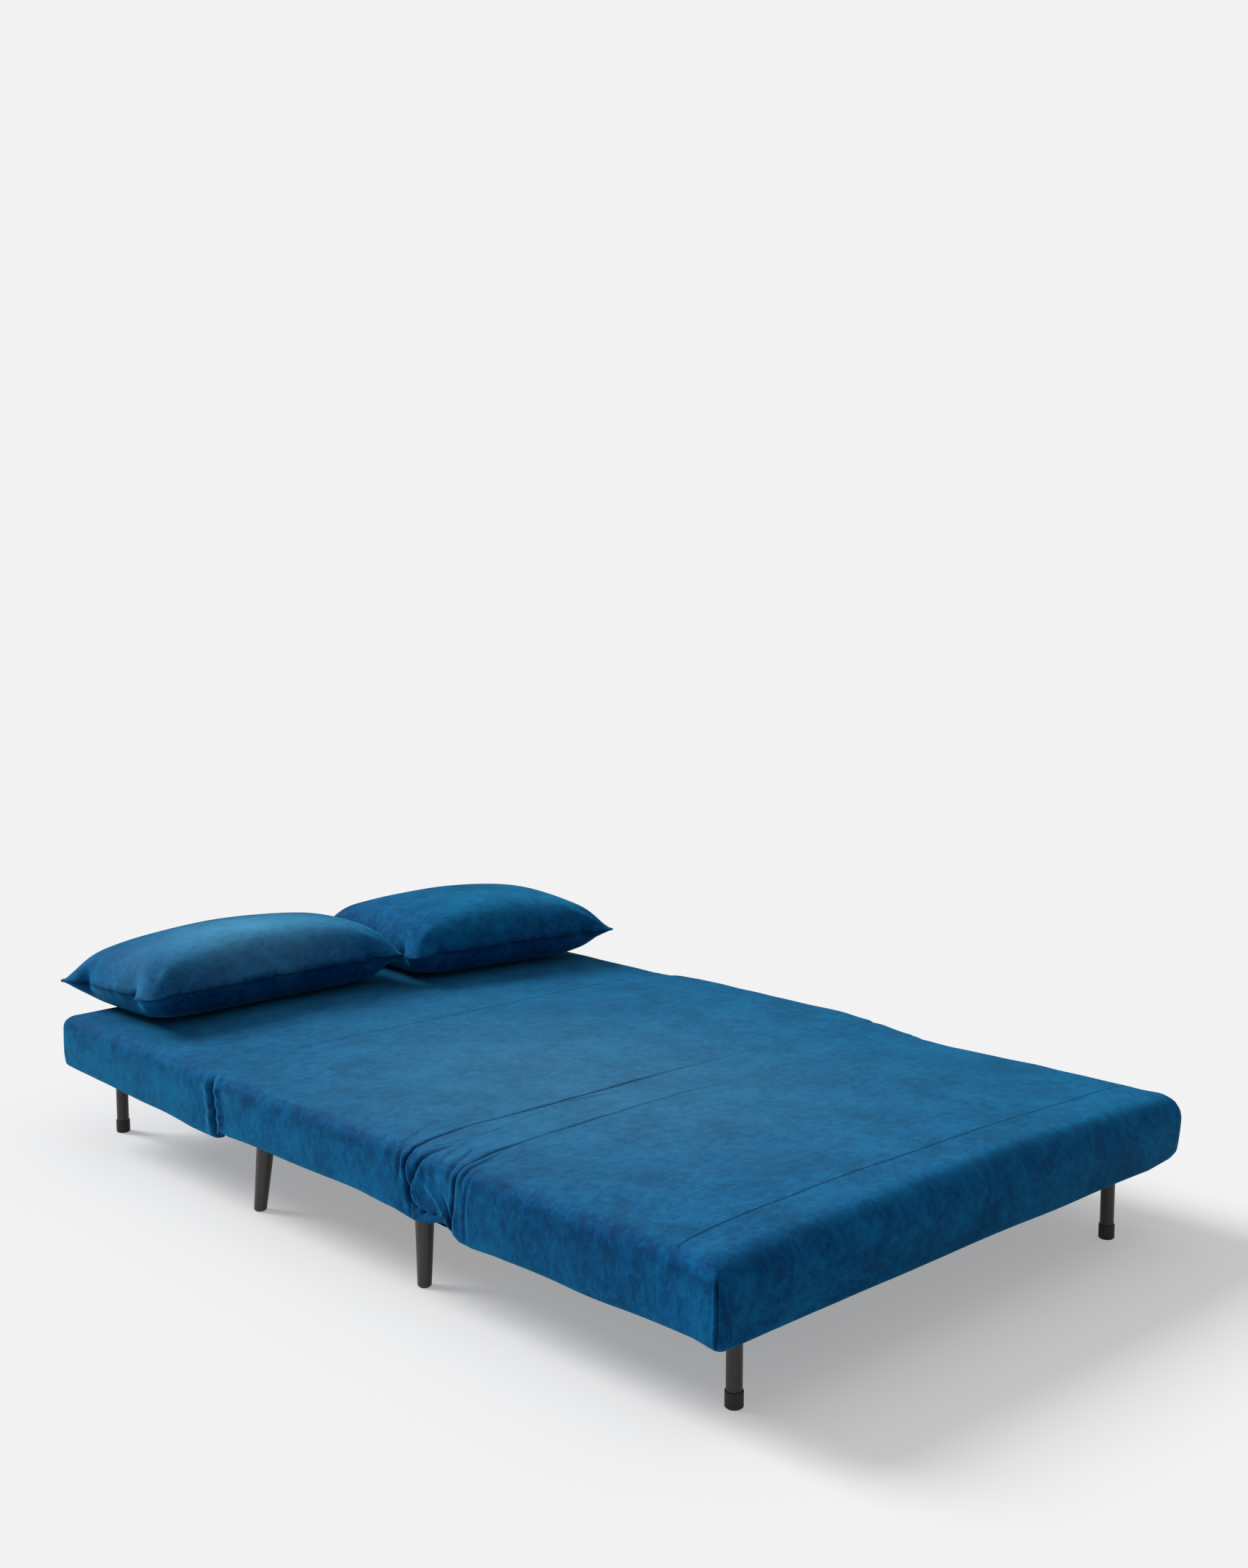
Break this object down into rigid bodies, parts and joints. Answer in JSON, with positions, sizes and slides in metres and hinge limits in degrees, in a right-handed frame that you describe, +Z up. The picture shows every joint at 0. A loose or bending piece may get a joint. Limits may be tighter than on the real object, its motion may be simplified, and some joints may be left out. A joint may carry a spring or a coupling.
{
  "type": "click clack sofa bed",
  "caption": "Armless upholstered sofa bed opened flat, with a reclining backrest, a footrest that folds out on links, tapered wooden legs, folding tube legs and loose pillows.",
  "frame": {"origin": "on the floor, at the middle of the whole object's bounding box, pillows included", "axes": "+Y from the foot end to the head end, where the pillows lie; +X to the right when looking from the foot end to the pillows, so -X is the near long side of the picture; +Z up"},
  "size_m": [1.2, 1.997, 0.434],
  "materials": {
    "velvet": "teal blue velvet with a soft nap",
    "foam": "cream polyurethane foam",
    "lining": "black non-woven lining",
    "frame_steel": "dark powder coat",
    "zinc": "zinc plated",
    "plywood": "raw plywood",
    "dark_wood": "dark brown stain, satin",
    "rubber": "matt black"
  },
  "bodies": {
    "seat": {"seat_rail_left": "frame_steel", "seat_rail_right": "frame_steel", "seat_rail_foot_end": "frame_steel", "seat_rail_head_end": "frame_steel", "seat_deck": "plywood", "seat_foam": "foam", "seat_cover": "velvet", "seat_dust_cover": "lining", "seat_leg_back_left": "dark_wood", "seat_leg_back_right": "dark_wood", "seat_leg_front_left": "dark_wood", "seat_leg_front_right": "dark_wood", "click_clack_seat_arm_left": "zinc", "click_clack_seat_arm_right": "zinc", "click_clack_pivot_left": "zinc", "click_clack_pivot_right": "zinc"},
    "backrest": {"backrest_rail_left": "frame_steel", "backrest_rail_right": "frame_steel", "backrest_rail_foot_end": "frame_steel", "backrest_rail_head_end": "frame_steel", "backrest_deck": "plywood", "backrest_foam": "foam", "backrest_cover": "velvet", "backrest_back_panel": "velvet", "backrest_leg_bracket_left": "frame_steel", "backrest_leg_bracket_right": "frame_steel", "click_clack_back_arm_left": "zinc", "click_clack_back_arm_right": "zinc", "crease_gusset": "velvet"},
    "backrest_leg_left": {"backrest_leg_left": "frame_steel", "backrest_leg_cap_left": "rubber"},
    "backrest_leg_right": {"backrest_leg_right": "frame_steel", "backrest_leg_cap_right": "rubber"},
    "pawl_left": {"click_clack_pawl_left": "zinc"},
    "pawl_right": {"click_clack_pawl_right": "zinc"},
    "footrest_links": {"footrest_link_left": "frame_steel", "footrest_link_right": "frame_steel", "link_pin_seat_left": "zinc", "link_pin_seat_right": "zinc", "link_pin_footrest_left": "zinc", "link_pin_footrest_right": "zinc", "footrest_gusset": "velvet"},
    "footrest": {"footrest_rail_left": "frame_steel", "footrest_rail_right": "frame_steel", "footrest_rail_foot_end": "frame_steel", "footrest_rail_head_end": "frame_steel", "footrest_deck": "plywood", "footrest_foam": "foam", "footrest_cover": "velvet", "footrest_seat_pad": "velvet", "footrest_leg_bracket_left": "frame_steel", "footrest_leg_bracket_right": "frame_steel"},
    "footrest_leg_left": {"footrest_leg_left": "frame_steel", "footrest_leg_cap_left": "rubber"},
    "footrest_leg_right": {"footrest_leg_right": "frame_steel", "footrest_leg_cap_right": "rubber"},
    "pillow_left": {"pillow_left": "velvet"},
    "pillow_right": {"pillow_right": "velvet"}
  },
  "joints": [
    {"name": "backrest_recline", "type": "hinge", "parent": "seat", "child": "backrest", "pos_m": [0, 0.2885, 0.236], "axis": [1, 0, 0], "range_deg": [0, 70], "deforming": ["crease_gusset"]},
    {"name": "footrest_link_turn", "type": "hinge", "parent": "seat", "child": "footrest_links", "pos_m": [0, -0.3145, 0.2255], "axis": [-1, 0, 0], "range_deg": [0, 90], "deforming": ["footrest_gusset"]},
    {"name": "footrest_fold", "type": "hinge", "parent": "footrest_links", "child": "footrest", "pos_m": [0, -0.4155, 0.2255], "axis": [-1, 0, 0], "range_deg": [0, 90]},
    {"name": "backrest_leg_fold_left", "type": "hinge", "parent": "backrest", "child": "backrest_leg_left", "pos_m": [-0.49, 0.8615, 0.17], "axis": [0, -1, 0], "range_deg": [0, 90]},
    {"name": "backrest_leg_fold_right", "type": "hinge", "parent": "backrest", "child": "backrest_leg_right", "pos_m": [0.49, 0.8615, 0.17], "axis": [0, 1, 0], "range_deg": [0, 90]},
    {"name": "footrest_leg_fold_left", "type": "hinge", "parent": "footrest", "child": "footrest_leg_left", "pos_m": [-0.49, -0.9225, 0.17], "axis": [0, -1, 0], "range_deg": [0, 90]},
    {"name": "footrest_leg_fold_right", "type": "hinge", "parent": "footrest", "child": "footrest_leg_right", "pos_m": [0.49, -0.9225, 0.17], "axis": [0, 1, 0], "range_deg": [0, 90]},
    {"name": "pawl_lift_left", "type": "hinge", "parent": "backrest", "child": "pawl_left", "pos_m": [0, 0.31035, 0.20996], "axis": [-1, 0, 0], "range_deg": [0, 12]},
    {"name": "pawl_lift_right", "type": "hinge", "parent": "backrest", "child": "pawl_right", "pos_m": [0, 0.31035, 0.20996], "axis": [-1, 0, 0], "range_deg": [0, 12]},
    {"name": "pillow_left_lift", "type": "slide", "parent": "backrest", "child": "pillow_left", "axis": [0, 0, 1], "range_m": [0, 0.3]},
    {"name": "pillow_right_lift", "type": "slide", "parent": "backrest", "child": "pillow_right", "axis": [0, 0, 1], "range_m": [0, 0.3]}
  ],
  "couplings": [
    {"joint": "footrest_fold", "follows": "footrest_link_turn", "ratio": 1}
  ]
}
